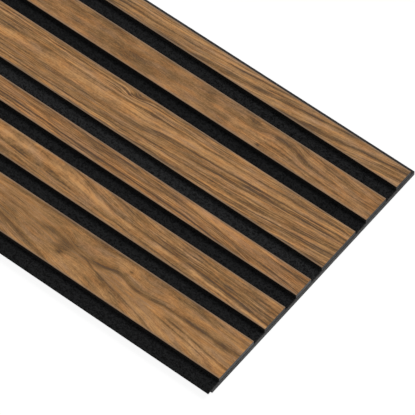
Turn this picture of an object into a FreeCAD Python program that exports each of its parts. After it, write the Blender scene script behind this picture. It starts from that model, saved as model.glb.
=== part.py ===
import FreeCAD, Part
import Sketcher
import os

# Acoustic slat wall panel, in millimetres, lying on its back with its face up.
# X runs along the slats, Y across them and Z out of the face.
# The origin is the middle of the panel's outline, on the back face.

doc = FreeCAD.newDocument("AcousticSlatWallPanel")

# Driving dimensions
drivingDimensions = (
    ("panelLength", 1200, "length of the board, the felt and every slat"),
    ("slatWide", 50, "width of a wide slat"),
    ("slatMedium", 30, "width of a medium slat"),
    ("slatNarrow", 22, "width of a narrow slat"),
    ("grooveWidth", 16, "felt that shows beside each slat"),
    ("lapWidth", 6, "how far the felt is set over from the board"),
    ("boardThickness", 5.2, "thickness of the backing board"),
    ("feltThickness", 1.8, "thickness of the felt sheet"),
    ("coreThickness", 4.4, "thickness of a slat's fibreboard core"),
    ("veneerThickness", 0.6, "thickness of the walnut veneer"),
    ("veneerArris", 0.3, "radius of the veneer's long upper edges"),
)
sheet = doc.addObject("Spreadsheet::Sheet", "Dims")
for row, (alias, value, note) in enumerate(drivingDimensions, start=1):
    sheet.set(f"A{row}", note)
    sheet.set(f"B{row}", str(value))
    sheet.setAlias(f"B{row}", alias)
doc.recompute()

# The slats from the felt's overhang to the board's lip: one run of three widths, laid twice
slatRun = ("slatWide", "slatMedium", "slatNarrow")
slatWidths = slatRun * 2

# One panel covers its slats and one groove for each, so a neighbour keeps the spacing
coverWidth = " + ".join(f"Dims.{width}" for width in slatWidths)
coverWidth = f"({coverWidth} + {len(slatWidths)} * Dims.grooveWidth)"
feltEdge = f"-({coverWidth} + Dims.lapWidth) / 2"
boardEdge = f"{feltEdge} + Dims.lapWidth"

# Heights of the layers above the back face
feltBase = "Dims.boardThickness"
coreBase = f"{feltBase} + Dims.feltThickness"
veneerBase = f"{coreBase} + Dims.coreThickness"


def slatEdge(index):
    """The lower Y edge of a slat: the grooves and slats before it, counted from the felt's edge."""
    before = [f"{index + 1} * Dims.grooveWidth"]
    before += [f"Dims.{width}" for width in slatWidths[:index]]
    return f"{feltEdge} + {' + '.join(before)}"


def drawSection(sketch, width, thickness):
    """A rectangle from the sketch's origin, its two sizes bound to the sheet."""
    # Any size will do here: the constraints set the real one
    corners = [FreeCAD.Vector(*place, 0) for place in ((0, 0), (9, 0), (9, 3), (0, 3))]
    for index, corner in enumerate(corners):
        sketch.addGeometry(Part.LineSegment(corner, corners[(index + 1) % 4]), False)
    for index in range(4):
        sketch.addConstraint(Sketcher.Constraint("Coincident", index, 2, (index + 1) % 4, 1))
    for index in (0, 2):
        sketch.addConstraint(Sketcher.Constraint("Horizontal", index))
        sketch.addConstraint(Sketcher.Constraint("Vertical", index + 1))
    sketch.addConstraint(Sketcher.Constraint("Coincident", 0, 1, -1, 1))
    for name, kind, line, size in (("width", "DistanceX", 0, width), ("thickness", "DistanceY", 1, thickness)):
        number = sketch.addConstraint(Sketcher.Constraint(kind, line, 1, line, 2, 9))
        sketch.renameConstraint(number, name)
        sketch.setExpression(f"Constraints.{name}", size)


def addStrip(node, width, thickness, edge, base):
    """A flat strip as long as the panel, padded from its section, with its low edge and base in place."""
    body = doc.addObject("PartDesign::Body", node)
    body.Label = node
    sketch = body.newObject("Sketcher::SketchObject", f"{node}_section")
    across = next(plane for plane in body.Origin.OriginFeatures if plane.Role == "YZ_Plane")
    sketch.AttachmentSupport = [(across, "")]
    sketch.MapMode = "FlatFace"
    drawSection(sketch, width, thickness)
    pad = body.newObject("PartDesign::Pad", f"{node}_run")
    pad.Profile = sketch
    pad.SideType = "Symmetric"
    pad.setExpression("Length", "Dims.panelLength")
    body.Tip = pad
    body.setExpression("Placement.Base.y", edge)
    body.setExpression("Placement.Base.z", base)
    doc.recompute()
    return body


def roundLongEdges(body, radius):
    """Rounds the two upper edges that run the strip's whole length."""
    run = body.Tip
    top = run.Shape.BoundBox.ZMax
    names = []
    for number, edge in enumerate(run.Shape.Edges, start=1):
        box = edge.BoundBox
        if box.ZMin > top - 0.001 and box.YLength < 0.001:
            names.append(f"Edge{number}")
    arris = body.newObject("PartDesign::Fillet", f"{body.Label}_arris")
    arris.Base = (run, names)
    arris.setExpression("Radius", radius)
    body.Tip = arris
    doc.recompute()


# Backing board, whose lip shows past the last slat
backingBoard = addStrip("backing_board", coverWidth, "Dims.boardThickness", boardEdge, "0")

# Felt sheet, as wide as the board but set over by the lap, so that it hangs over on one side
feltSheet = addStrip("felt_sheet", coverWidth, "Dims.feltThickness", feltEdge, feltBase)
subParts = [backingBoard, feltSheet]

# Slats: a fibreboard core on the felt, and the walnut veneer on the core
veneerRadius = "min(Dims.veneerArris; 0.9 * Dims.veneerThickness)"
for index, width in enumerate(slatWidths):
    core = addStrip(f"slat_core_{index + 1}", f"Dims.{width}", "Dims.coreThickness", slatEdge(index), coreBase)
    veneer = addStrip(
        f"slat_veneer_{index + 1}", f"Dims.{width}", "Dims.veneerThickness", slatEdge(index), veneerBase
    )
    roundLongEdges(veneer, veneerRadius)
    subParts += [core, veneer]

# Checks before anything is written
for item in doc.Objects:
    if {"Invalid", "Error"} & set(item.State):
        raise RuntimeError(f"{item.Label} did not compute: {item.State}")
for subPart in subParts:
    if subPart.Shape.isNull() or not subPart.Shape.isValid():
        raise RuntimeError(f"{subPart.Label} has no valid solid")

os.makedirs("parts", exist_ok=True)
for subPart in subParts:
    subPart.Shape.exportStep(f"parts/{subPart.Label}.step")
    box = subPart.Shape.BoundBox
    print(
        f"{subPart.Label}: {box.XLength:.2f} x {box.YLength:.2f} x {box.ZLength:.2f},"
        f" y from {box.YMin:.2f}, z from {box.ZMin:.2f}, volume {subPart.Shape.Volume:.0f}"
    )
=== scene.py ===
import bpy
import bmesh
import math
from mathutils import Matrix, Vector, noise


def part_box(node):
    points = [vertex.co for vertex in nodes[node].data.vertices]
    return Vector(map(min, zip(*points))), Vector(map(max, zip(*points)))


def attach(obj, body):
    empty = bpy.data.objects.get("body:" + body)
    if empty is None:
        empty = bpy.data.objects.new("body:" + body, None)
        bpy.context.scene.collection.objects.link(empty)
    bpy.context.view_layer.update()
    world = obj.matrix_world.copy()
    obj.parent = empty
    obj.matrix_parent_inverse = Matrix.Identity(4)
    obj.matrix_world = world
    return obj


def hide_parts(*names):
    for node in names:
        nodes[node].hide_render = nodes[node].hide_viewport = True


# Acoustic slat wall panel: walnut faced slats on black felt over a dark board.
# Lengths are in metres. The patterns are drawn in millimetres, along and across each slat.

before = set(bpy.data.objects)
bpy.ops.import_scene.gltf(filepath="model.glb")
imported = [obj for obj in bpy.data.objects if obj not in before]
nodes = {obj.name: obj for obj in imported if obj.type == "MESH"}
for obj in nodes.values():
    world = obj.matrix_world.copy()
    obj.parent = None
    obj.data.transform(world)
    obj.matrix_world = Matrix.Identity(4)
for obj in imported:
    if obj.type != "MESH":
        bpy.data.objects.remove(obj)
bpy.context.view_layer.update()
print("frame loaded:", len(nodes), "solids")


# small helpers for node trees

def feed(tree, socket, value):  # a link from another node, or a plain value
    if isinstance(value, bpy.types.NodeSocket):
        tree.links.new(value, socket)
    else:
        socket.default_value = value


def addNode(tree, kind, feeds=None, **settings):
    node = tree.nodes.new("ShaderNode" + kind)
    for setting, value in settings.items():
        setattr(node, setting, value)
    for key, value in (feeds or {}).items():
        feed(tree, node.inputs[key], value)
    return node


def calc(tree, operation, *values):
    return addNode(tree, "Math", dict(enumerate(values)), operation=operation).outputs[0]


def summed(tree, first, *others):
    for other in others:
        first = calc(tree, "ADD", first, other)
    return first


def ramped(tree, value, fromLow, fromHigh, toLow=0.0, toHigh=1.0):
    feeds = {"Value": value, "From Min": fromLow, "From Max": fromHigh, "To Min": toLow, "To Max": toHigh}
    return addNode(tree, "MapRange", feeds, interpolation_type="SMOOTHSTEP").outputs["Result"]


def mixed(tree, factor, low, high, blend="MIX"):
    feeds = {0: factor, 6: low, 7: high}
    return addNode(tree, "Mix", feeds, data_type="RGBA", blend_type=blend).outputs[2]


def scaled(tree, vector, size):
    return addNode(tree, "VectorMath", {0: vector, "Scale": size}, operation="SCALE").outputs[0]


def cloud(tree, place, detail=1.0, roughness=0.5, distortion=0.0):
    feeds = {
        "Vector": place,
        "Scale": 1.0,
        "Detail": detail,
        "Roughness": roughness,
        "Distortion": distortion,
    }
    return addNode(tree, "TexNoise", feeds).outputs["Fac"]


def stretched(tree, along, across, alongScale, acrossScale, layer):
    feeds = {
        "X": calc(tree, "MULTIPLY", along, alongScale),
        "Y": calc(tree, "MULTIPLY", across, acrossScale),
        "Z": layer,
    }
    return addNode(tree, "CombineXYZ", feeds).outputs[0]


def partsOf(tree, vector):
    return addNode(tree, "SeparateXYZ", {0: vector}).outputs


def facing(tree):  # the way the surface faces, as three numbers
    return partsOf(tree, addNode(tree, "NewGeometry").outputs["Normal"])


endFacing = 0.7  # what looks along the panel by more than this is a sawn end


def isSawnEnd(tree):
    return calc(tree, "GREATER_THAN", calc(tree, "ABSOLUTE", facing(tree)[0]), endFacing)


perMetre = 1000.0  # millimetres


def millimetres(tree, corner=(0.0, 0.0, 0.0)):  # place on the object, counted from a corner
    feeds = {
        "Vector": addNode(tree, "TexCoord").outputs["Object"],
        "Scale": (perMetre,) * 3,
        "Location": tuple(-perMetre * part for part in corner),
    }
    return addNode(tree, "Mapping", feeds).outputs[0]


def newGroup(name, inputs, outputs):
    tree = bpy.data.node_groups.new(name, "ShaderNodeTree")
    for label, value in inputs.items():
        kind = "NodeSocketVector" if isinstance(value, tuple) else "NodeSocketFloat"
        tree.interface.new_socket(name=label, in_out="INPUT", socket_type=kind).default_value = value
    for label in outputs:
        tree.interface.new_socket(name=label, in_out="OUTPUT", socket_type="NodeSocketFloat")
    return tree, tree.nodes.new("NodeGroupInput").outputs, tree.nodes.new("NodeGroupOutput").inputs


def useGroup(tree, group, feeds):
    return addNode(tree, "Group", feeds, node_tree=group).outputs


def newMaterial(name):
    material = bpy.data.materials.new(name)
    material.use_nodes = True
    tree = material.node_tree
    return material, tree, tree.nodes["Principled BSDF"]


def finishSurface(tree, shader, colour, roughness, gloss, height, relief):
    feed(tree, shader.inputs["Base Color"], colour)
    feed(tree, shader.inputs["Roughness"], roughness)
    shader.inputs["Specular IOR Level"].default_value = gloss
    bump = addNode(tree, "Bump", {"Height": height, "Strength": 1.0, "Distance": relief})
    feed(tree, shader.inputs["Normal"], bump.outputs[0])


def setMaterial(piece, material):
    piece.data.materials.clear()
    piece.data.materials.append(material)


# camera, floor and light

cameraSetup = {
    "azimuth": 38.363,
    "elevation": 56.183,
    "aim": (0.4783, 0.0, 0.012),
    "distance": 4.0285,
    "sensor": 36.0,
    "lens": 383.08,
    "reach": 100.0,
}


def setCamera(setup):
    azimuth, elevation = math.radians(setup["azimuth"]), math.radians(setup["elevation"])
    back = Vector((
        math.sin(azimuth) * math.cos(elevation),
        -math.cos(azimuth) * math.cos(elevation),
        math.sin(elevation),
    ))
    data = bpy.data.cameras.new("photoCamera")
    data.sensor_width = setup["sensor"]
    data.lens = setup["lens"]
    data.clip_end = setup["reach"]
    camera = bpy.data.objects.new("photoCamera", data)
    camera.location = Vector(setup["aim"]) + back * setup["distance"]
    camera.rotation_euler = (-back).to_track_quat("-Z", "Y").to_euler()
    bpy.context.collection.objects.link(camera)
    bpy.context.scene.camera = camera
    bpy.context.scene.view_settings.view_transform = "Standard"


studio = {
    "worldLight": 0.45,  # even light from all round
    "sunLight": 2.07,
    "sunSize": 28.0,  # degrees, so its shadows are soft
    "sunFrom": (0.18, 0.62, 0.85),
    "floorHalf": 20.0,
    "floorColour": (0.9, 0.9, 0.9, 1.0),
    "floorWhite": 0.88,  # share of plain white that the camera sees in the floor
    "whiteLevel": 1.04,
}


def seenDirectly(tree):  # the camera's own rays, and those that reflections and glass send
    path = addNode(tree, "LightPath").outputs
    direct = calc(tree, "MAXIMUM", path["Is Camera Ray"], path["Is Glossy Ray"])
    return calc(tree, "MAXIMUM", direct, path["Is Transmission Ray"])


def setLight(setup):
    world = bpy.data.worlds.new("studioWorld")
    bpy.context.scene.world = world
    world.use_nodes = True
    tree = world.node_tree
    background = tree.nodes["Background"]
    background.inputs["Color"].default_value = (1, 1, 1, 1)
    strength = ramped(tree, seenDirectly(tree), 0.0, 1.0, setup["worldLight"], 1.0)
    feed(tree, background.inputs["Strength"], strength)

    sun = bpy.data.lights.new("softSun", "SUN")
    sun.energy = setup["sunLight"]
    sun.angle = math.radians(setup["sunSize"])
    lamp = bpy.data.objects.new("softSun", sun)
    lamp.rotation_euler = Vector(setup["sunFrom"]).to_track_quat("Z", "Y").to_euler()
    bpy.context.collection.objects.link(lamp)


def layFloor(setup):
    # the floor is open under the board, so that the board's back shows from below
    shape = bmesh.new()
    bmesh.ops.create_grid(shape, x_segments=1, y_segments=1, size=setup["floorHalf"])
    low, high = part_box("backing_board")
    for place, normal in ((low, (1, 0, 0)), (high, (1, 0, 0)), (low, (0, 1, 0)), (high, (0, 1, 0))):
        everything = shape.verts[:] + shape.edges[:] + shape.faces[:]
        bmesh.ops.bisect_plane(shape, geom=everything, plane_co=place, plane_no=normal)
    for face in list(shape.faces):
        middle = face.calc_center_median()
        if low.x < middle.x < high.x and low.y < middle.y < high.y:
            shape.faces.remove(face)
    mesh = bpy.data.meshes.new("studioFloor")
    shape.to_mesh(mesh)
    shape.free()
    floor = bpy.data.objects.new("studioFloor", mesh)
    bpy.context.collection.objects.link(floor)

    material, tree, shader = newMaterial("paleFloor")
    shader.inputs["Base Color"].default_value = setup["floorColour"]
    shader.inputs["Roughness"].default_value = 1.0
    shader.inputs["Specular IOR Level"].default_value = 0.0
    white = addNode(tree, "Emission", {"Strength": setup["whiteLevel"]})
    share = calc(tree, "MULTIPLY", seenDirectly(tree), setup["floorWhite"])
    both = addNode(tree, "MixShader", {0: share, 1: shader.outputs[0], 2: white.outputs[0]})
    feed(tree, tree.nodes["Material Output"].inputs["Surface"], both.outputs[0])
    setMaterial(floor, material)


setCamera(cameraSetup)
setLight(studio)
layFloor(studio)
print("camera, floor and light set")


# short fibres that cross in three directions, as in felt and pressed board

fibreLook = {
    "turns": (0.3, 1.35, 2.45),  # one direction each, in radians
    "lean": (0.4, 0.3),
    "curl": 0.6,
    "bareLevel": 0.85,  # how high the noise must reach for a fibre, at no cover
    "coverDrop": 0.4,  # how much lower that is at full cover
    "softness": 0.14,
    "strandDetail": 2.0,
    "mottle": (0.38, 4.0, 0.75),  # scale, detail, roughness
}


def makeFibreGroup(look):
    tree, given, made = newGroup(
        "crossedFibres",
        {"Place": (0.0, 0.0, 0.0), "Fibre Length": 3.0, "Fibre Width": 0.3, "Cover": 0.5},
        ("Fibres", "Mottle"),
    )
    drop = calc(tree, "MULTIPLY", given["Cover"], look["coverDrop"])
    level = calc(tree, "SUBTRACT", look["bareLevel"], drop)
    leanShare, lean = look["lean"]
    fibres = 0.0
    for turn in look["turns"]:
        feeds = {"Vector": given["Place"], "Rotation": (leanShare * turn, lean, turn)}
        parts = partsOf(tree, addNode(tree, "Mapping", feeds).outputs[0])
        feeds = {
            "X": calc(tree, "DIVIDE", parts[0], given["Fibre Length"]),
            "Y": calc(tree, "DIVIDE", parts[1], given["Fibre Width"]),
            "Z": calc(tree, "DIVIDE", parts[2], given["Fibre Width"]),
        }
        place = addNode(tree, "CombineXYZ", feeds).outputs[0]
        strands = cloud(tree, place, detail=look["strandDetail"], distortion=look["curl"])
        strands = ramped(tree, strands, calc(tree, "SUBTRACT", level, look["softness"]), level)
        fibres = calc(tree, "MAXIMUM", fibres, strands)
    feed(tree, made["Fibres"], fibres)
    scale, detail, roughness = look["mottle"]
    feed(tree, made["Mottle"], cloud(tree, scaled(tree, given["Place"], scale), detail, roughness))
    return tree


fibreGroup = makeFibreGroup(fibreLook)


# walnut grain: growth rings, bands, lines, fibre and pores

grainLook = {
    # patterns: how fine along and across the grain, which layer of the noise, detail, roughness
    "wander": (0.0045, 0.022, 3.1, 1.0, 0.5),
    "bands": (0.0035, 0.13, 17.2, 1.0, 0.5),
    "smallClouds": (0.045, 0.13, 21.8, 3.0, 0.6),
    "broadClouds": (0.012, 0.05, 23.8, 1.0, 0.5),
    "lines": (0.018, 0.62, 26.4, 2.0, 0.9),
    "fibre": (0.09, 2.0, 31.5, 2.0, 0.6),
    "flecks": (0.55, 1.1, 39.4, 2.0, 0.6),
    "pores": (0.22, 3.2, 36.1, 1.0, 0.5),
    "greyness": (0.035, 0.2, 41.0, 3.0, 0.5),
    "warmth": (0.05, 0.3, 47.0, 3.0, 0.5),
    # how strongly each pattern tells
    "wanderSize": 4.0,
    "broadCloudSize": 0.9,
    "lineSize": 4.4,
    "fibreSize": 0.95,
    "fleckSize": 0.6,
    "poreDepth": 0.2,
    "middleTone": 0.65,
    # ranges of the noise, then what they turn into
    "wanderRange": (-280.0, -520.0, 0.0, 3.0),  # by the place along the slat
    "poreRange": (0.58, 0.70),
    "greyRange": (0.42, 0.68),
    "warmRange": (0.40, 0.66),
    # growth rings: sharpness, drift, layer of the noise
    "mainRings": (4.5, 0.5, 5.3),
    "lesserRings": (2.5, 1.6, 55.1),
    "lesserShare": 2.7,  # so many of them to one main ring
    "ringDrift": (0.0015, 0.25),
    "ringPatches": (0.02, 0.4),
    "ringNoise": (1.0, 0.5),  # detail and roughness of both
    "patchLayer": 7.6,
    "patchRange": (0.3, 0.62, 0.2, 1.25),
    "ringStop": (1.0, 0.88),
    "ringChance": (0.0, 1.0, 0.2, 1.35),
    # share of the pores and rings in the relief
    "poreRelief": 0.6,
    "ringRelief": 0.2,
}


def makeGrainGroup(look):
    tree, given, made = newGroup(
        "walnutGrain",
        {
            "Along": 0.0, "Across": 0.0, "Seed": 0.0, "Ring Spacing": 7.0, "Ring Depth": 0.3,
            "Line Depth": 0.3, "Line Count": 1.0, "Cloud Depth": 0.5, "Wander": 3.0, "Calm": 0.0,
        },
        ("Tone", "Greyness", "Warmth", "Relief"),
    )
    along, across, seed = given["Along"], given["Across"], given["Seed"]

    def times(value, size):
        return calc(tree, "MULTIPLY", value, size)

    def streaks(pattern, side=across):
        alongScale, acrossScale, layer, detail, roughness = pattern
        place = stretched(tree, along, side, alongScale, acrossScale, calc(tree, "ADD", seed, layer))
        return cloud(tree, place, detail, roughness)

    def centred(value, size):  # a noise value turned into plus or minus half a size
        return times(calc(tree, "SUBTRACT", value, 0.5), size)

    # far from the drawn end the grain wanders slowly over the slat
    wander = times(given["Wander"], ramped(tree, along, *look["wanderRange"]))
    flow = calc(tree, "ADD", across, times(centred(streaks(look["wander"]), look["wanderSize"]), wander))

    # growth rings: each darkens slowly, then stops at a sharp line
    def rings(spacing, sharpness, spread, layer):
        drift = centred(streaks((*look["ringDrift"], layer, *look["ringNoise"]), flow), spread)
        place = calc(tree, "ADD", calc(tree, "DIVIDE", flow, spacing), drift)
        inRing = calc(tree, "FRACT", place)
        dark = times(calc(tree, "POWER", inRing, sharpness), ramped(tree, inRing, *look["ringStop"]))
        feeds = {"W": summed(tree, calc(tree, "FLOOR", place), layer, seed)}
        chance = addNode(tree, "TexWhiteNoise", feeds, noise_dimensions="1D").outputs["Value"]
        dark = times(dark, ramped(tree, chance, *look["ringChance"]))
        patches = streaks((*look["ringPatches"], layer + look["patchLayer"], *look["ringNoise"]), flow)
        return times(dark, ramped(tree, patches, *look["patchRange"]))

    ring = times(rings(given["Ring Spacing"], *look["mainRings"]), given["Ring Depth"])
    lesserSpacing = calc(tree, "DIVIDE", given["Ring Spacing"], look["lesserShare"])
    lesser = rings(lesserSpacing, *look["lesserRings"])
    ring = calc(tree, "MULTIPLY_ADD", lesser, given["Line Depth"], ring)

    bands = centred(streaks(look["bands"], flow), 1.0)
    finer = times(flow, given["Line Count"])
    lines = times(centred(streaks(look["lines"], finer), look["lineSize"]), given["Line Depth"])
    pattern = calc(tree, "SUBTRACT", calc(tree, "ADD", bands, lines), ring)
    pattern = times(pattern, calc(tree, "SUBTRACT", 1.0, given["Calm"]))

    smallClouds = centred(streaks(look["smallClouds"]), 1.0)
    broadClouds = centred(streaks(look["broadClouds"]), look["broadCloudSize"])
    clouds = times(calc(tree, "ADD", smallClouds, broadClouds), given["Cloud Depth"])

    fibre = centred(streaks(look["fibre"], flow), look["fibreSize"])
    flecks = centred(streaks(look["flecks"], flow), look["fleckSize"])
    pores = ramped(tree, streaks(look["pores"], flow), *look["poreRange"])
    tone = summed(tree, look["middleTone"], pattern, clouds, fibre, flecks)
    tone = calc(tree, "SUBTRACT", tone, times(pores, look["poreDepth"]))
    sunk = calc(tree, "ADD", times(pores, look["poreRelief"]), times(ring, look["ringRelief"]))

    feed(tree, made["Tone"], tone)
    feed(tree, made["Greyness"], ramped(tree, streaks(look["greyness"]), *look["greyRange"]))
    feed(tree, made["Warmth"], ramped(tree, streaks(look["warmth"]), *look["warmRange"]))
    feed(tree, made["Relief"], calc(tree, "SUBTRACT", fibre, sunk))
    return tree


grainGroup = makeGrainGroup(grainLook)


# single grain lines, drawn along given paths

lineLook = {
    "fadeFar": 30.0,  # length over which a line fades out at its far end
    "fadeNear": 12.0,
    "fadeShare": 0.3,  # neither fade is longer than this share of the line
    "swellScale": 0.035,
    "swellRange": (0.3, 0.6, 0.45, 1.2),
    "seedStep": 3.7,
    "pathRoom": 2.0,  # spare range of a path's curve on both sides
}


def makeLineGroup():
    # how dark a line is at a distance from its middle: sharp above it, with a soft tail below
    tree, given, made = newGroup(
        "grainLine", {"Offset": 0.0, "Width": 1.0, "Tail": 3.0, "Strength": 0.5}, ("Dark",)
    )
    below = calc(tree, "LESS_THAN", given["Offset"], 0.0)
    extra = calc(tree, "SUBTRACT", given["Tail"], given["Width"])
    width = calc(tree, "MULTIPLY_ADD", below, extra, given["Width"])
    share = calc(tree, "POWER", calc(tree, "DIVIDE", given["Offset"], width), 2.0)
    fade = calc(tree, "EXPONENT", calc(tree, "MULTIPLY", share, -1.0))
    feed(tree, made["Dark"], calc(tree, "MULTIPLY", fade, given["Strength"]))
    return tree


lineGroup = makeLineGroup()


def drawnPath(tree, along, points):  # a smooth path through given places
    far, near = sorted((points[0][0], points[-1][0]))
    sides = [side for _, side in points]
    low, high = min(sides) - lineLook["pathRoom"], max(sides) + lineLook["pathRoom"]
    feeds = {"Value": along, "From Min": far, "From Max": near}
    share = addNode(tree, "MapRange", feeds).outputs["Result"]
    node = addNode(tree, "FloatCurve", {"Value": share})
    curve = node.mapping.curves[0]
    places = sorted(((place - far) / (near - far), (side - low) / (high - low)) for place, side in points)
    curve.points[0].location = places[0]
    curve.points[1].location = places[-1]
    for place in places[1:-1]:
        curve.points.new(*place)
    node.mapping.update()
    return calc(tree, "MULTIPLY_ADD", node.outputs[0], high - low, low)


def drawnLine(tree, along, across, path, ends, seed, strength, width, tail):
    far, near = ends
    longest = lineLook["fadeShare"] * (near - far)
    fadeFar, fadeNear = min(lineLook["fadeFar"], longest), min(lineLook["fadeNear"], longest)
    shown = calc(
        tree, "MULTIPLY",
        ramped(tree, along, far, far + fadeFar),
        ramped(tree, along, near, near - fadeNear),
    )
    feeds = {"X": calc(tree, "MULTIPLY", along, lineLook["swellScale"]), "Z": seed}
    swells = cloud(tree, addNode(tree, "CombineXYZ", feeds).outputs[0])
    shown = calc(tree, "MULTIPLY", shown, ramped(tree, swells, *lineLook["swellRange"]))
    feeds = {
        "Offset": calc(tree, "SUBTRACT", across, path),
        "Width": width,
        "Tail": tail,
        "Strength": calc(tree, "MULTIPLY", shown, strength),
    }
    return useGroup(tree, lineGroup, feeds)["Dark"]


def softSpot(tree, place, strength, length, width, turn, middle):
    feeds = {
        "Vector": place,
        "Location": (*middle, 0.0),
        "Rotation": (0.0, 0.0, turn),
        "Scale": (length, width, 1.0),
    }
    turned = addNode(tree, "Mapping", feeds, vector_type="TEXTURE").outputs[0]
    share = addNode(tree, "VectorMath", {0: turned}, operation="LENGTH").outputs["Value"]
    fade = calc(tree, "EXPONENT", calc(tree, "MULTIPLY", calc(tree, "POWER", share, 2.0), -1.0))
    return calc(tree, "MULTIPLY", fade, strength)


def grainFlow(tree, along, side, guides, spacing):  # the grain's own scale, spread between the drawn paths
    paths = [drawnPath(tree, along, points) for _, points in guides]
    below = calc(tree, "MINIMUM", calc(tree, "SUBTRACT", side, paths[0]), 0.0)
    above = calc(tree, "MAXIMUM", calc(tree, "SUBTRACT", side, paths[-1]), 0.0)
    flow = summed(tree, spacing * guides[0][0], below, above)
    for index in range(len(guides) - 1):
        rise = spacing * (guides[index + 1][0] - guides[index][0])
        feeds = {"Value": side, "From Min": paths[index], "From Max": paths[index + 1], "To Max": rise}
        flow = calc(tree, "ADD", flow, addNode(tree, "MapRange", feeds).outputs["Result"])
    return flow, paths


# walnut slats
# Places are (along, across) in millimetres: along is 0 at the near end and falls towards the far one,
# and across is counted from the slat's low edge.
# guides: number of the growth ring there, path. The grain flows between them. With a negative spacing
# the rings are sharp on their low side.
# lines: strength, width above, width below, far end, then which guide it follows, counted from 0, or a
# path of its own.
# spots: strength, length, width, turn, middle. A negative strength makes a line or spot paler.
# calm: share by which the rings fade, length, width, turn, middle.
# eyes: how many rings are pushed aside, length, width, turn, middle.

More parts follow.
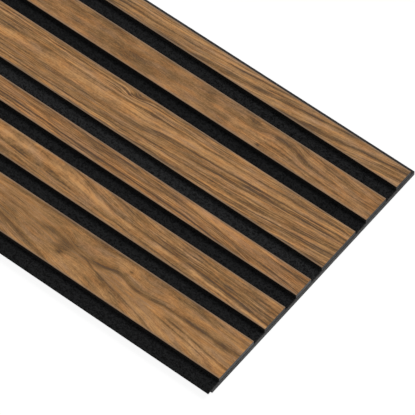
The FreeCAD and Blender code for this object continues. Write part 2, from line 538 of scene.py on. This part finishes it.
slatFigures = {
    1: {
        "tint": (1.0, 1.0, 1.0, 1),
        "seed": 1.7, "spacing": 8.0, "depth": 0.1, "lineDepth": 0.2, "lineCount": 1.0,
        "cloudDepth": 0.9, "wander": 0.9, "tone": -0.02,
        "guides": (
            (-2, ((12, -40), (-90, -28), (-150, -12), (-190, -2), (-213, 4.4), (-240, 9), (-265, 14.5),
                (-290, 17), (-330, 18), (-420, 16))),
            (0, ((12, -22), (-40, -10), (-62, -4), (-76, 0), (-98, 6.5), (-123, 12.3), (-150, 17.0),
                (-168, 20.4), (-185, 21), (-205, 22), (-240, 24), (-270, 27), (-420, 26))),
            (2, ((12, 11), (-10, 12.3), (-30, 14.7), (-50, 17.3), (-80, 20), (-110, 21.6),
                (-140, 22.8), (-168, 24.8), (-185, 25.5), (-205, 28), (-240, 31), (-270, 34),
                (-420, 33))),
            (4, ((12, 29.6), (-20, 29.4), (-60, 29.4), (-85, 29.2), (-96, 27.2), (-111, 25.8),
                (-123, 27.2), (-134, 31), (-141, 32), (-149, 30.6), (-161, 28.4), (-185, 30),
                (-205, 35), (-240, 38), (-270, 41), (-420, 40))),
            (6, ((12, 43.4), (-10, 44), (-40, 46.6), (-70, 50), (-110, 53), (-200, 52), (-250, 49),
                (-300, 46), (-420, 44))),
        ),
        "lines": (
            (0.4, 1.2, 3.8, -190, ((12, 29.6), (-20, 29.4), (-60, 29.4), (-85, 29.2), (-96, 27.2),
                (-111, 25.8), (-123, 27.2), (-134, 31), (-141, 32), (-149, 30.4), (-161, 27.8),
                (-174, 26.2), (-195, 25.6))),
            (0.42, 0.7, 1.3, -192, ((12, -22), (-40, -10), (-62, -4), (-76, 0), (-98, 6.5),
                (-123, 12.3), (-150, 17.4), (-165, 22.0), (-176, 25.4), (-195, 26.4))),
            (0.58, 0.6, 1.2, -90, 2),
            (0.24, 0.7, 1.5, -110, 4),
            (0.3, 2.0, 3.4, -420, 0),
            (0.46, 0.6, 1.1, -110, ((12, 4.8), (-10, 6.4), (-30, 9.4), (-50, 12.4), (-80, 16.4),
                (-105, 18.8), (-110, 19))),
            (0.18, 0.7, 1.5, -110, ((12, 38.5), (-20, 40), (-60, 43.5), (-110, 46))),
        ),
        "spots": (
            (0.46, 13, 3.2, 0.04, (-219, 30.4)), (0.46, 10.5, 7.2, 0.0, (-198, 23.6)),
            (0.2, 6.0, 3.6, 0.0, (-198, 18)), (0.52, 3.4, 1.7, 0.1, (-197.5, 15.6)),
            (0.6, 2.2, 1.3, 0.0, (-131.5, 39.2)), (0.34, 2.2, 1.4, 0.0, (-134, 34.8)),
            (-0.18, 3.0, 1.5, 0.0, (-128, 37)), (0.2, 42, 17.0, 0.0, (-236, 26)),
            (0.32, 130, 5.0, 0.0, (-190, 50)), (-0.2, 20, 5.0, -0.1, (-74, 16)),
            (-0.22, 46, 5.5, 0.05, (-45, 8)), (-0.1, 40, 5.0, 0.0, (-60, 36)),
            (0.17, 34, 5.0, 0.0, (-22, 45)), (-0.16, 24, 5.0, 0.0, (-174, 36)),
            (-0.18, 24, 5.0, 0.0, (-178, 15)), (-0.14, 13, 4.5, 0.0, (-135, 6)),
            (-0.16, 26, 2.4, -0.2, (-238, 3)), (0.3, 22, 7.0, 0.1, (-742, 29)),
            (0.5, 3.0, 2.0, 0.5, (-748, 26)),
        ),
        "calm": (
            (1.0, 60, 15.0, 0.0, (-190, 25)), (0.6, 60, 14.0, 0.0, (-70, 40)),
            (0.7, 80, 14.0, 0.0, (-110, 16)),
        ),
        "eyes": (
            (0.6, 16, 6.0, 0.2, (-205, 25)), (0.12, 6, 4.0, 0.0, (-133, 37)),
            (1.4, 34, 9.0, 0.1, (-745, 28)),
        ),
    },
    2: {
        "tint": (1.0, 1.0, 1.02, 1),
        "seed": 4.1, "spacing": -6.0, "depth": 0.24, "lineDepth": 0.37,
        "lineCount": 1.15, "cloudDepth": 0.5, "wander": 0.55, "tone": -0.05,
        "guides": (
            (0, ((12, -7), (-20, -4), (-50, -1.6), (-90, 1), (-139, 3.4), (-197, 5.8), (-261, 9),
                (-325, 12.4), (-420, 13))),
            (1, ((12, 3), (-10, 4.6), (-40, 7.4), (-70, 10), (-110, 11.7), (-140, 12.3), (-165, 13.3),
                (-188, 15.4), (-209, 19), (-233, 25.4), (-262, 29), (-300, 30.6), (-420, 31))),
            (2, ((12, 12), (-30, 13.8), (-70, 15.6), (-110, 16.4), (-137, 17.4), (-154, 19),
                (-175, 22), (-197, 26.4), (-230, 33), (-300, 37), (-420, 38))),
            (3, ((12, 20), (-50, 22.5), (-100, 24.5), (-140, 27.5), (-180, 33), (-240, 40),
                (-420, 45))),
        ),
        "lines": (
            (0.34, 0.9, 0.6, -245, 1),
            (0.12, 1.4, 1.0, -230, 0),
            (0.24, 0.9, 0.6, -215, 2),
            (0.1, 1.4, 0.7, -170, 3),
            (-0.32, 2.6, 3.2, -420, ((-78, 6.8), (-110, 8.4), (-150, 9.6), (-180, 11.6), (-215, 15.6),
                (-260, 20), (-330, 21), (-420, 21))),
            (-0.55, 0.8, 1.0, -110, ((12, 0.6), (-10, 2.2), (-40, 4.6), (-70, 6.4), (-110, 8.6))),
            (0.24, 0.9, 0.5, -225, ((-100, 14.0), (-140, 14.8), (-165, 16.4), (-190, 19.6),
                (-225, 27))),
            (0.24, 0.9, 0.5, -205, ((-110, 20.0), (-132, 21.0), (-147, 23.0), (-171, 27.2),
                (-205, 33))),
            (0.18, 0.9, 0.7, -420, ((-190, 2.0), (-240, 3.6), (-290, 5.0), (-350, 5.6), (-420, 5.6))),
            (0.14, 0.9, 0.7, -420, ((-230, 8.6), (-280, 11), (-340, 12.4), (-420, 12.6))),
            (0.22, 1.0, 0.6, -90, ((12, 9), (-20, 10.6), (-50, 13), (-90, 15))),
            (0.12, 1.2, 0.6, -140, ((12, 24.6), (-40, 25.6), (-90, 27.4), (-140, 29.8))),
            (0.1, 1.2, 0.6, -120, ((12, 17.2), (-40, 19.4), (-90, 21), (-120, 22))),
        ),
        "spots": (
            (0.26, 15, 2.6, -0.06, (-112, 15)), (0.16, 30, 2.4, -0.1, (-60, 10)),
            (0.14, 100, 9.0, 0.0, (-40, 23)), (0.17, 44, 5.0, 0.0, (-34, 4)),
            (0.2, 46, 5.0, 0.0, (-165, 26.5)), (-0.12, 50, 5.0, -0.05, (-225, 18)),
            (0.2, 70, 5.0, 0.0, (-285, 5)),
        ),
        "calm": (
            (0.9, 80, 3.2, -0.05, (-100, 8)), (0.9, 46, 5.0, -0.14, (-215, 15.5)),
            (0.7, 90, 6.0, 0.0, (-310, 21)),
        ),
        "eyes": (
            (0.8, 30, 7.0, 0.1, (-560, 12)), (1.0, 40, 8.0, -0.1, (-930, 17)),
        ),
    },
    3: {
        "tint": (1.03, 0.985, 0.985, 1),
        "seed": 9.6, "spacing": 6.5, "depth": 0.34, "lineDepth": 0.45, "lineCount": 1.0,
        "cloudDepth": 0.4, "wander": 0.4, "tone": 0.02,
        "guides": (
            (-1, ((12, -14), (-58, -2), (-91, 2), (-134, 5.2), (-200, 6.2), (-265, 7.2), (-330, 8.8),
                (-420, 9))),
            (0, ((12, -4), (-25, 1.3), (-58, 5), (-91, 8.3), (-113, 9.8), (-134, 10.8), (-178, 11.6),
                (-265, 12.8), (-330, 14.6), (-420, 15))),
            (1, ((12, 3), (-25, 5.6), (-69, 8.8), (-113, 13.0), (-152, 16.6), (-200, 18), (-265, 19),
                (-330, 20.4), (-420, 21))),
            (2, ((12, 12), (-34, 14), (-69, 16), (-113, 19.5), (-152, 22.5), (-200, 24), (-330, 26),
                (-420, 26.6))),
        ),
        "lines": (
            (0.24, 0.7, 1.5, -420, 1),
            (0.18, 0.7, 1.4, -420, 0),
            (0.28, 0.7, 1.6, -420, 2),
            (-0.28, 2.4, 2.4, -150, ((12, 9), (-30, 10.6), (-69, 13.0), (-113, 16.6), (-150, 18.8))),
            (-0.26, 2.0, 2.4, -150, ((-30, 19.0), (-69, 18.6), (-113, 19.8), (-150, 20.4))),
            (0.26, 0.6, 0.9, -36, ((12, 18.8), (-15, 17.0), (-36, 15.9))),
            (0.26, 0.9, 0.6, -36, ((12, 13.2), (-15, 14.9), (-36, 15.9))),
            (0.22, 0.6, 1.2, -420, ((-60, 1.6), (-100, 5.6), (-150, 8.4), (-220, 9.4), (-300, 10.6),
                (-420, 11.6))),
            (0.2, 0.6, 1.1, -420, ((-130, 13.4), (-178, 14.6), (-265, 15.8), (-330, 17.4),
                (-420, 17.8))),
            (0.2, 0.6, 1.1, -420, ((-110, 1.4), (-160, 2.8), (-265, 4.0), (-330, 5.2), (-420, 5.6))),
        ),
        "spots": (
            (0.12, 70, 12.0, 0.0, (-215, 11)), (-0.13, 40, 4.5, 0.0, (-258, 17)),
            (0.2, 16, 1.8, 0.0, (0, 16.0)), (0.1, 70, 14.0, 0.0, (-20, 10)),
        ),
        "calm": (
            (1.0, 50, 3.0, -0.06, (-80, 16)), (0.8, 40, 3.0, 0.0, (-60, 19.4)),
        ),
        "eyes": (
            (0.6, 30, 5.0, 0.0, (-640, 9)),
        ),
    },
    4: {
        "tint": (1.0, 1.0, 1.02, 1),
        "seed": 13.2, "spacing": 7.4, "depth": 0.16, "lineDepth": 0.5, "lineCount": 1.1,
        "cloudDepth": 0.25, "wander": 0.5, "tone": 0.02,
        "guides": (
            (0, ((12, 9.6), (-10, 7.7), (-50, 4.7), (-90, 0.5), (-130, -2), (-200, -5), (-300, -7),
                (-420, -8))),
            (1, ((12, 18), (-10, 15.3), (-50, 11.7), (-90, 8), (-130, 5.5), (-170, 4), (-230, 2),
                (-300, 1), (-420, 0))),
            (2, ((12, 27), (-10, 25), (-50, 21.5), (-90, 18.5), (-130, 16), (-170, 14), (-230, 10.5),
                (-300, 8.5), (-420, 8))),
            (4, ((12, 37.6), (-10, 36.4), (-50, 34), (-90, 32), (-130, 29.4), (-160, 27.8),
                (-190, 26.5), (-230, 22), (-300, 19.5), (-420, 19))),
            (5, ((12, 44.6), (-10, 43.3), (-50, 42), (-90, 39.9), (-130, 38.6), (-170, 37.6),
                (-230, 36), (-300, 34), (-420, 33))),
            (6, ((12, 53), (-50, 49), (-90, 47), (-130, 45.4), (-180, 44), (-230, 43.5), (-300, 43),
                (-420, 43))),
        ),
        "lines": (
            (0.42, 0.6, 1.6, -235, 3),
            (0.24, 0.6, 1.1, -420, 4),
            (0.24, 0.6, 1.0, -420, 1),
            (0.26, 0.6, 1.0, -420, 0),
            (0.22, 0.6, 1.0, -420, 2),
            (0.2, 0.6, 1.1, -420, 5),
            (-0.18, 2.0, 2.2, -420, ((12, 40.5), (-50, 38), (-100, 36), (-150, 34.6), (-200, 32.4),
                (-260, 29.4), (-340, 27), (-420, 26))),
            (0.26, 0.6, 1.8, -420, ((-90, 25.4), (-150, 22.0), (-190, 20.4), (-240, 16.6), (-300, 14),
                (-420, 13))),
            (0.22, 0.6, 1.0, -80, ((12, 47.6), (-20, 46.8), (-80, 44.6))),
            (0.2, 0.5, 1.0, -130, ((12, 33), (-40, 30.6), (-90, 28.4), (-130, 25.8))),
            (0.2, 0.5, 1.0, -150, ((12, 21.6), (-40, 18), (-90, 14), (-150, 10))),
            (0.18, 0.5, 1.0, -110, ((12, 14), (-40, 9.4), (-80, 5.4), (-110, 3))),
        ),
        "spots": (
            (0.2, 8, 3.0, 0.4, (-247, 44)), (0.4, 2.6, 1.6, 0.4, (-256, 42)),
            (0.18, 60, 4.0, 0.06, (-85, 27.5)), (-0.12, 60, 4.0, 0.0, (-260, 31)),
            (0.16, 60, 4.0, 0.0, (-310, 14)), (-0.13, 34, 5.5, 0.0, (-60, 15.5)),
            (0.17, 50, 6.0, 0.0, (-255, 45)), (0.16, 44, 5.0, 0.04, (-38, 35)),
            (0.14, 14, 4.0, 0.0, (-12, 6)), (-0.1, 110, 5.0, 0.0, (-190, 6)),
        ),
        "calm": (
            (0.9, 90, 3.4, 0.06, (-150, 35)), (0.8, 90, 6.0, 0.0, (-310, 27)),
        ),
        "eyes": (
            (0.5, 12, 4.0, 0.2, (-250, 43)), (1.2, 60, 9.0, 0.05, (-640, 27)),
            (1.0, 40, 8.0, -0.1, (-1010, 30)),
        ),
    },
    5: {
        "tint": (1.0, 0.99, 1.035, 1),
        "seed": 21.4, "spacing": 9.0, "depth": 0.15, "lineDepth": 0.28,
        "lineCount": 1.15, "cloudDepth": 0.92, "wander": 0.9, "tone": -0.05,
        "guides": (
            (0, ((12, 3), (-50, 4), (-120, 6), (-200, 6), (-300, 7), (-420, 6))),
            (1, ((12, 12.2), (-10, 12.6), (-50, 13.4), (-75, 14.6), (-88, 17.4), (-100, 20.4),
                (-115, 21.8), (-135, 20.8), (-155, 19), (-200, 17), (-300, 18), (-420, 17))),
            (2, ((12, 20), (-20, 21.4), (-50, 24), (-80, 27.6), (-120, 31), (-200, 28), (-300, 27),
                (-420, 27))),
        ),
        "lines": (
            (0.22, 1.6, 2.4, -150, 1),
            (0.24, 0.6, 1.1, -110, 2),
            (0.22, 0.6, 1.0, -40, ((12, 25.4), (-10, 26), (-40, 29.5))),
            (0.18, 0.6, 1.0, -75, ((12, 16.6), (-20, 17.8), (-50, 20.8), (-75, 24.4))),
        ),
        "spots": (
            (0.34, 10, 4.6, 0.0, (-143, 21)), (0.18, 22, 3.6, 0.0, (-112, 22)),
            (0.16, 8, 3.0, 0.5, (-90, 18.4)), (0.14, 90, 12.0, 0.0, (-270, 12)),
            (0.12, 28, 5.0, 0.0, (-276, 5)), (0.14, 22, 5.0, 0.0, (-283, 26)),
            (0.17, 20, 5.0, 0.0, (-167, 5)), (-0.18, 14, 5.0, 0.0, (-166, 26)),
            (-0.15, 20, 5.0, 0.0, (-16, 26)), (0.11, 12, 5.0, 0.0, (-135, 14)),
            (0.1, 60, 12.0, 0.0, (-100, 8)), (-0.08, 40, 4.0, 0.0, (-40, 6)),
            (0.6, 2.6, 1.4, 0.0, (-129, 4)), (0.3, 5, 1.8, 0.3, (-199, 23)),
            # the long thin spot at (-250, 30) is painted shade along the slat's far eased edge
            (0.14, 100, 3.0, 0.0, (-250, 30)), (0.3, 16, 4.0, 0.2, (-810, 13)),
            (0.5, 2.6, 1.5, 0.0, (-815, 12)),
        ),
        "calm": (
            (0.9, 90, 22.0, 0.0, (-250, 14)),
        ),
        "eyes": (
            (0.3, 12, 4.0, 0.2, (-143, 20)), (0.8, 26, 6.0, 0.2, (-810, 13)),
        ),
    },
    6: {
        "tint": (0.97, 1.0, 1.09, 1),
        "seed": 27.9, "spacing": 5.2, "depth": 0.41, "lineDepth": 0.36, "lineCount": 1.0,
        "cloudDepth": 0.35, "wander": 0.4, "tone": 0.02,
        "guides": (
            (0, ((12, 9), (-15, 6.5), (-40, 3), (-60, 0), (-100, -5), (-200, -13), (-300, -18),
                (-420, -20))),
            (2, ((12, 19.6), (-10, 17), (-30, 14.3), (-50, 12), (-70, 8.5), (-90, 6.7), (-120, 3),
                (-150, -0.5), (-200, -5), (-300, -10), (-420, -12))),
            (4, ((12, 30), (-30, 25.6), (-70, 20.3), (-90, 18.3), (-110, 16.3), (-130, 13.7),
                (-150, 11), (-170, 8.7), (-210, 5.7), (-250, 2.7), (-330, 0), (-420, -1))),
            (6, ((12, 42), (-70, 30), (-110, 25), (-150, 20), (-200, 15), (-250, 12), (-330, 9.5),
                (-420, 9))),
        ),
        "lines": (
            (0.38, 1.6, 3.0, -420, 2),
            (0.28, 1.8, 3.0, -420, 1),
            (0.24, 1.2, 2.0, -420, 0),
            (0.34, 0.8, 1.8, -420, 3),
            (-0.22, 1.6, 1.6, -180, ((-6, 21), (-50, 16), (-90, 12.5), (-130, 9), (-180, 5))),
            (0.24, 0.6, 1.2, -420, ((-120, 18.4), (-170, 14.4), (-220, 10), (-270, 7), (-330, 5),
                (-420, 4))),
        ),
        "spots": (
            (0.18, 22, 3.0, 0.12, (-88, 3.4)), (0.14, 40, 3.0, 0.08, (-215, 3)),
            (-0.1, 60, 5.0, 0.0, (-270, 17)), (-0.11, 26, 5.0, 0.0, (-24, 16)),
            (0.1, 16, 5.0, 0.0, (-75, 4)),
        ),
        "calm": (
            (0.7, 50, 2.6, 0.1, (-90, 12)),
        ),
        "eyes": (
            (0.7, 30, 5.0, 0.1, (-700, 12)),
        ),
    },
}

walnut = {
    "shades": (  # from the dark lines to the palest bands
        (0.0, (0.078, 0.038, 0.013, 1)),
        (0.25, (0.155, 0.077, 0.019, 1)),
        (0.5, (0.250, 0.126, 0.041, 1)),
        (0.75, (0.362, 0.184, 0.063, 1)),
        (1.0, (0.494, 0.256, 0.090, 1)),
    ),
    "greyTint": (0.93, 0.99, 1.27, 1),
    "warmTint": (1.07, 0.955, 0.79, 1),
    # arris: colour of the edge band, a painted highlight and wear
    "arris": (0.226, 0.152, 0.096, 1),
    "arrisWidth": 2.1,
    "arrisFull": 0.15,  # share of that width over which the edge band is at its strongest
    "arrisShare": 0.7,
    "cutEdge": (0.075, 0.036, 0.013, 1),
    "cutEdgeRange": (0.35, 0.0),  # by how far the surface faces up
    "roughness": (0.62, 0.5),
    "gloss": 0.25,
    "relief": 0.00006,
    "shiver": 2.2,  # a slight shake, so that no drawn line is too smooth
    "shiverNoise": (0.04, 0.09, 3.0, 0.62),  # scale along and across, detail, roughness
}


def drawGrain(tree, along, side, figure):
    alongScale, acrossScale, detail, roughness = walnut["shiverNoise"]
    shake = stretched(tree, along, side, alongScale, acrossScale, figure["seed"])
    shake = calc(tree, "SUBTRACT", cloud(tree, shake, detail, roughness), 0.5)
    side = calc(tree, "MULTIPLY_ADD", shake, walnut["shiver"], side)
    flat = addNode(tree, "CombineXYZ", {"X": along, "Y": side}).outputs[0]
    spacing = abs(figure["spacing"])
    flow, paths = grainFlow(tree, along, side, figure["guides"], spacing)
    for rings, *spot in figure["eyes"]:
        flow = calc(tree, "ADD", flow, softSpot(tree, flat, spacing * rings, *spot))
    calm = 0.0
    for spot in figure["calm"]:
        calm = calc(tree, "MAXIMUM", calm, softSpot(tree, flat, *spot))
    feeds = {
        "Along": along,
        "Across": flow,
        "Seed": figure["seed"],
        "Ring Spacing": figure["spacing"],
        "Ring Depth": figure["depth"],
        "Line Depth": figure["lineDepth"],
        "Line Count": figure["lineCount"],
        "Cloud Depth": figure["cloudDepth"],
        "Wander": figure["wander"],
        "Calm": calm,
    }
    grain = useGroup(tree, grainGroup, feeds)
    tone = calc(tree, "ADD", grain["Tone"], figure["tone"])
    for index, (strength, width, tail, far, route) in enumerate(figure["lines"]):
        if isinstance(route, int):
            points, path = figure["guides"][route][1], paths[route]
        else:
            points, path = route, drawnPath(tree, along, route)
        ends = (far, points[0][0])
        seed = figure["seed"] + lineLook["seedStep"] * index
        dark = drawnLine(tree, along, side, path, ends, seed, strength, width, tail)
        tone = calc(tree, "SUBTRACT", tone, dark)
    for spot in figure["spots"]:
        tone = calc(tree, "SUBTRACT", tone, softSpot(tree, flat, *spot))
    return grain, tone


def walnutColour(tree, grain, tone, tint):
    ramp = addNode(tree, "ValToRGB", {"Fac": tone})
    stops = ramp.color_ramp.elements
    stops[0].color, stops[1].color = walnut["shades"][0][1], walnut["shades"][-1][1]
    for where, shade in walnut["shades"][1:-1]:
        stops.new(where).color = shade
    colour = mixed(tree, 1.0, ramp.outputs["Color"], tint, "MULTIPLY")
    for mask, change in (("Greyness", "greyTint"), ("Warmth", "warmTint")):
        colour = mixed(tree, grain[mask], colour, mixed(tree, 1.0, colour, walnut[change], "MULTIPLY"))
    return colour


def makeWalnut(name, veneer, figure):
    low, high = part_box(veneer)
    slatWidth = perMetre * (high.y - low.y)
    material, tree, shader = newMaterial(name)
    parts = partsOf(tree, millimetres(tree, (high.x, low.y, low.z)))
    along, side = parts[0], parts[1]
    grain, tone = drawGrain(tree, along, side, figure)
    colour = walnutColour(tree, grain, tone, figure["tint"])

    # the long eased edges get a greyer, paler band: painted highlight where they round over, and wear
    fromEdge = calc(tree, "MINIMUM", side, calc(tree, "SUBTRACT", slatWidth, side))
    width = walnut["arrisWidth"]
    edgeHighlightAndWear = ramped(tree, fromEdge, width, walnut["arrisFull"] * width, 0.0, walnut["arrisShare"])
    colour = mixed(tree, edgeHighlightAndWear, colour, walnut["arris"])
    colour = mixed(tree, ramped(tree, facing(tree)[2], *walnut["cutEdgeRange"]), colour, walnut["cutEdge"])
    roughness = ramped(tree, tone, 0.0, 1.0, *walnut["roughness"])
    finishSurface(tree, shader, colour, roughness, walnut["gloss"], grain["Relief"], walnut["relief"])
    return material


for number, figure in slatFigures.items():
    veneer = f"slat_veneer_{number}"
    setMaterial(nodes[veneer], makeWalnut(f"walnut{number}", veneer, figure))
print("walnut faces finished:", len(slatFigures))


# fibreboard: slat cores and backing board

fibreboard = {
    "endShade": 0.084,
    "endShadeDark": 0.020,
    "coreEndTones": (1.5, 0.95, 1.5, 0.9, 0.95, 0.9),  # the cores' sawn ends differ a little
    "coreShades": ((0.0120, 0.0104, 0.0092, 1), (0.0037, 0.0030, 0.0026, 1)),  # fibres, and between them
    "boardEndTone": 1.12,
    "boardShades": ((0.036, 0.034, 0.033, 1), (0.012, 0.012, 0.012, 1)),
    "fibres": {"Fibre Length": 2.2, "Fibre Width": 0.35, "Cover": 0.75},
    "fibreShare": 0.4,
    "mottleRange": (0.3, 0.7, 0.1, 0.75),
    "driftScale": 0.02,  # a slow change of tone over the whole board
    "driftRange": (0.3, 0.7, -0.2, 0.2),
    "roughness": (0.95, 0.7),
    "gloss": 0.1,
    "relief": 0.00008,
}


def makeFibreboard(name, shades, endTone):
    flat, flatDark = shades
    material, tree, shader = newMaterial(name)
    place = millimetres(tree)
    pressed = useGroup(tree, fibreGroup, {"Place": place, **fibreboard["fibres"]})
    mottle = ramped(tree, pressed["Mottle"], *fibreboard["mottleRange"])
    shade = calc(tree, "MULTIPLY_ADD", pressed["Fibres"], fibreboard["fibreShare"], mottle)
    drift = cloud(tree, scaled(tree, place, fibreboard["driftScale"]), detail=3.0)
    shade = calc(tree, "ADD", shade, ramped(tree, drift, *fibreboard["driftRange"]))
    face = mixed(tree, shade, flatDark, flat)
    cut, cutDark = (3 * (endTone * fibreboard[end],) + (1,) for end in ("endShade", "endShadeDark"))
    colour = mixed(tree, isSawnEnd(tree), face, mixed(tree, shade, cutDark, cut))
    roughness = ramped(tree, pressed["Mottle"], 0.0, 1.0, *fibreboard["roughness"])
    finishSurface(tree, shader, colour, roughness, fibreboard["gloss"], shade, fibreboard["relief"])
    return material


for number, endTone in enumerate(fibreboard["coreEndTones"], start=1):
    core = makeFibreboard(f"blackCore{number}", fibreboard["coreShades"], endTone)
    setMaterial(nodes[f"slat_core_{number}"], core)
board = makeFibreboard("backingBoard", fibreboard["boardShades"], fibreboard["boardEndTone"])
setMaterial(nodes["backing_board"], board)
print("fibreboard finished")


# felt

felt = {
    "edgeRound": 0.0004,
    "crown": 0.00014,  # how far the felt swells between two slats
    "swellPower": 0.6,  # below 1, so that it is flat in the middle
    "nap": 0.00009,
    "napSize": 0.004,
    "napNoise": (0.7, 2.0, 3),  # roughness, step and count of its layers
    "stepAlong": 0.003,
    "cutsAcross": 7,  # in each groove
    "creaseAngle": 0.7,
    "dark": (0.0001, 0.0001, 0.0001, 1),
    "fibre": (0.0151, 0.0154, 0.0158, 1),
    "grooveTones": (1.0, 1.08, 1.02, 1.5, 0.87, 1.12),  # the felt in each groove is a little lighter or darker
    "cutDark": (0.016, 0.016, 0.016, 1),  # the sawn ends are paler: greyer cut fibres, with a painted sheen
    "cutFibre": (0.062, 0.061, 0.060, 1),
    "clumps": {"Fibre Length": 6.0, "Fibre Width": 1.2, "Cover": 0.5},
    "clumpShare": 0.78,
    "fineFibres": {"Fibre Length": 2.6, "Fibre Width": 0.22, "Cover": 0.55},
    "fineShare": 0.3,
    "mottleRange": (0.42, 0.62, 0.0, 0.4),
    "gloss": 0.05,
    "relief": 0.00015,
}


def findGrooves(node, slats):  # both edges of each strip of felt beside a slat
    walls = [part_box(node)[0].y] + [edge.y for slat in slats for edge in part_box(slat)]
    return list(zip(walls[0::2], walls[1::2]))


def raiseNap(shape, top, grooves):  # pressed flat under the slats, softly raised and napped between them
    for vert in shape.verts:
        if vert.co.z < top - 0.5 * felt["edgeRound"]:
            continue
        for start, end in grooves:
            if start < vert.co.y < end:
                swell = math.sin(math.pi * (vert.co.y - start) / (end - start)) ** felt["swellPower"]
                nap = noise.fractal(vert.co / felt["napSize"], *felt["napNoise"])
                vert.co.z += swell * (felt["crown"] + felt["nap"] * nap)


def buildFelt(node, grooves):
    low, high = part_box(node)
    length = high.x - low.x
    shape = bmesh.new()
    bmesh.ops.create_cube(shape, size=1.0)
    bmesh.ops.scale(shape, vec=high - low, verts=shape.verts)
    bmesh.ops.translate(shape, vec=(low + high) / 2, verts=shape.verts)

    def lengthEdges():
        return [edge for edge in shape.edges if abs(edge.verts[0].co.x - edge.verts[1].co.x) > 0.5 * length]

    bmesh.ops.bevel(
        shape, geom=lengthEdges(), offset=felt["edgeRound"], segments=3, profile=0.5,
        affect="EDGES", material=-1,
    )
    for start, end in grooves:
        for step in range(felt["cutsAcross"] + 2):
            cut = start + (end - start) * step / (felt["cutsAcross"] + 1)
            if low.y + felt["edgeRound"] < cut < high.y - felt["edgeRound"]:
                everything = shape.verts[:] + shape.edges[:] + shape.faces[:]
                bmesh.ops.bisect_plane(shape, geom=everything, plane_co=(0, cut, 0), plane_no=(0, 1, 0))
    cuts = round(length / felt["stepAlong"]) - 1
    bmesh.ops.subdivide_edges(shape, edges=lengthEdges(), cuts=cuts, use_grid_fill=True)
    raiseNap(shape, high.z, grooves)
    for edge in shape.edges:
        edge.smooth = edge.calc_face_angle(0.0) < felt["creaseAngle"]
    for face in shape.faces:
        face.smooth = True
    mesh = bpy.data.meshes.new("feltLayer")
    shape.to_mesh(mesh)
    shape.free()
    piece = bpy.data.objects.new("feltLayer", mesh)
    bpy.context.collection.objects.link(piece)
    return piece


def makeFelt(grooves):
    material, tree, shader = newMaterial("blackFelt")
    place = millimetres(tree)
    clumps = useGroup(tree, fibreGroup, {"Place": place, **felt["clumps"]})
    fine = useGroup(tree, fibreGroup, {"Place": place, **felt["fineFibres"]})
    thin = calc(tree, "MULTIPLY", fine["Fibres"], felt["fineShare"])
    shade = calc(tree, "MULTIPLY_ADD", clumps["Fibres"], felt["clumpShare"], thin)
    shade = calc(tree, "ADD", shade, ramped(tree, clumps["Mottle"], *felt["mottleRange"]))
    across = partsOf(tree, place)[1]
    tone = 1.0
    for (start, end), grooveTone in zip(grooves, felt["grooveTones"]):
        middle, reach = perMetre * (start + end) / 2, perMetre * (end - start) / 2
        inside = calc(tree, "COMPARE", across, middle, reach)
        tone = calc(tree, "MULTIPLY_ADD", inside, grooveTone - 1.0, tone)
    face = scaled(tree, mixed(tree, shade, felt["dark"], felt["fibre"]), tone)
    # sawn ends: paler grey, partly a painted sheen of the cut fibres
    ends = mixed(tree, shade, felt["cutDark"], felt["cutFibre"])
    colour = mixed(tree, isSawnEnd(tree), face, ends)
    finishSurface(tree, shader, colour, 1.0, felt["gloss"], shade, felt["relief"])
    return material


grooves = findGrooves("felt_sheet", [f"slat_core_{number}" for number in slatFigures])
feltLayer = buildFelt("felt_sheet", grooves)
setMaterial(feltLayer, makeFelt(grooves))
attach(feltLayer, "root")
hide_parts("felt_sheet")
print("felt laid:", len(feltLayer.data.polygons), "faces")
